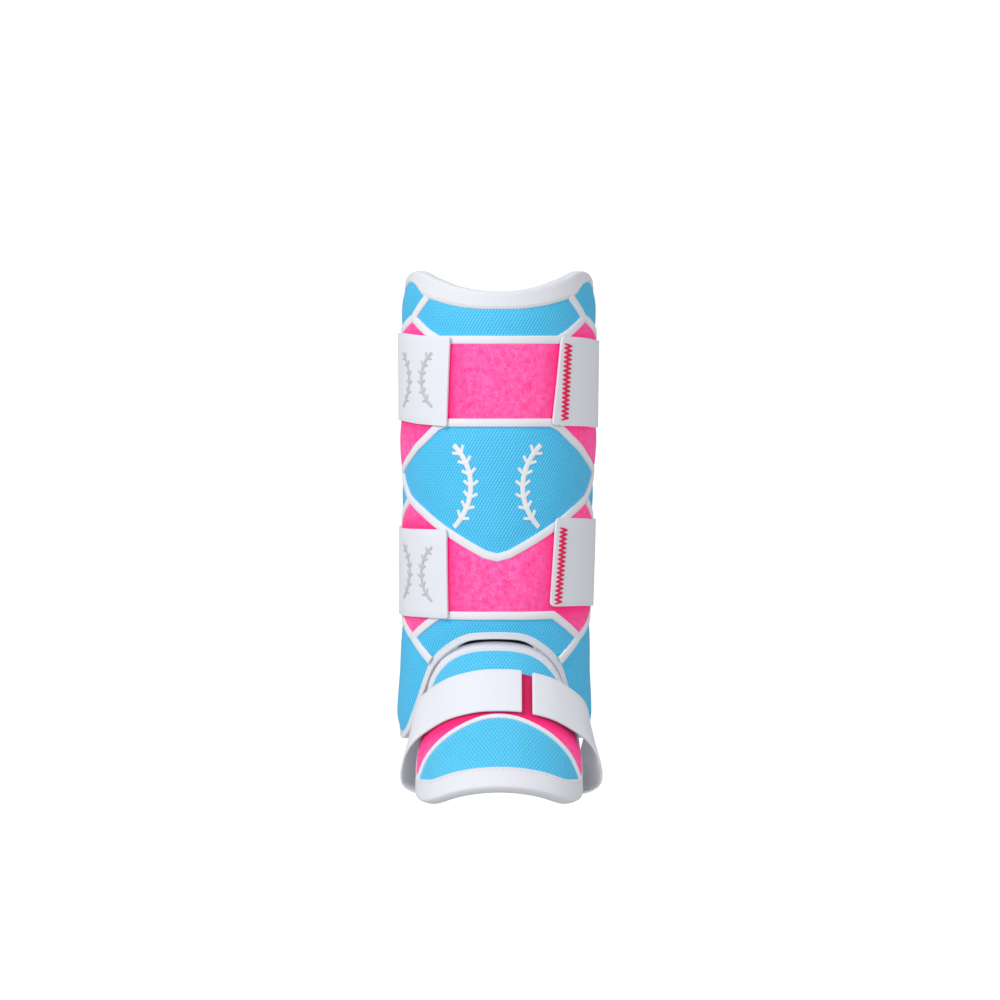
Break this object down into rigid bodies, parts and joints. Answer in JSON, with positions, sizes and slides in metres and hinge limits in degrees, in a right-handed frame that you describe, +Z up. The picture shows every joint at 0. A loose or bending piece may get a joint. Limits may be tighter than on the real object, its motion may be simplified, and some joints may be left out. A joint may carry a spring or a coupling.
{
  "type": "batters leg guard",
  "caption": "Padded leg guard worn by a batter: curved shin shell with bound edges, hinged instep guard, calf straps and a foot strap.",
  "frame": {"origin": "on the leg axis inside the shin shell, midway between the two calf straps", "axes": "+X to the viewer's right seen from the front, -Y to the front of the leg, +Z up the leg"},
  "size_m": [0.1214, 0.1824, 0.3054],
  "materials": {
    "blue_mesh": "matte mesh",
    "pink_loop": "brushed loop",
    "white_binding": "smooth stretch binding",
    "white_trim": "smooth tape",
    "white_strap": "woven elastic",
    "dark_web": "matte"
  },
  "bodies": {
    "root": {"shin_shell": "blue_mesh", "foot_guard": "blue_mesh", "upper_loop_panel": "pink_loop", "lower_loop_panel": "pink_loop", "instep_loop_panel": "pink_loop", "shin_binding": "white_binding", "foot_binding": "white_binding", "top_panel_trim": "white_trim", "centre_panel_trim": "white_trim", "ankle_panel_trim": "white_trim", "instep_trim": "white_trim", "upper_calf_strap": "white_strap", "lower_calf_strap": "white_strap", "foot_strap": "white_strap", "ankle_hinge": "dark_web", "upper_side_trim_left": "white_trim", "upper_side_trim_right": "white_trim", "middle_side_trim_left": "white_trim", "middle_side_trim_right": "white_trim", "waist_side_trim_left": "white_trim", "waist_side_trim_right": "white_trim", "lower_side_trim_left": "white_trim", "lower_side_trim_right": "white_trim"}
  },
  "joints": []
}
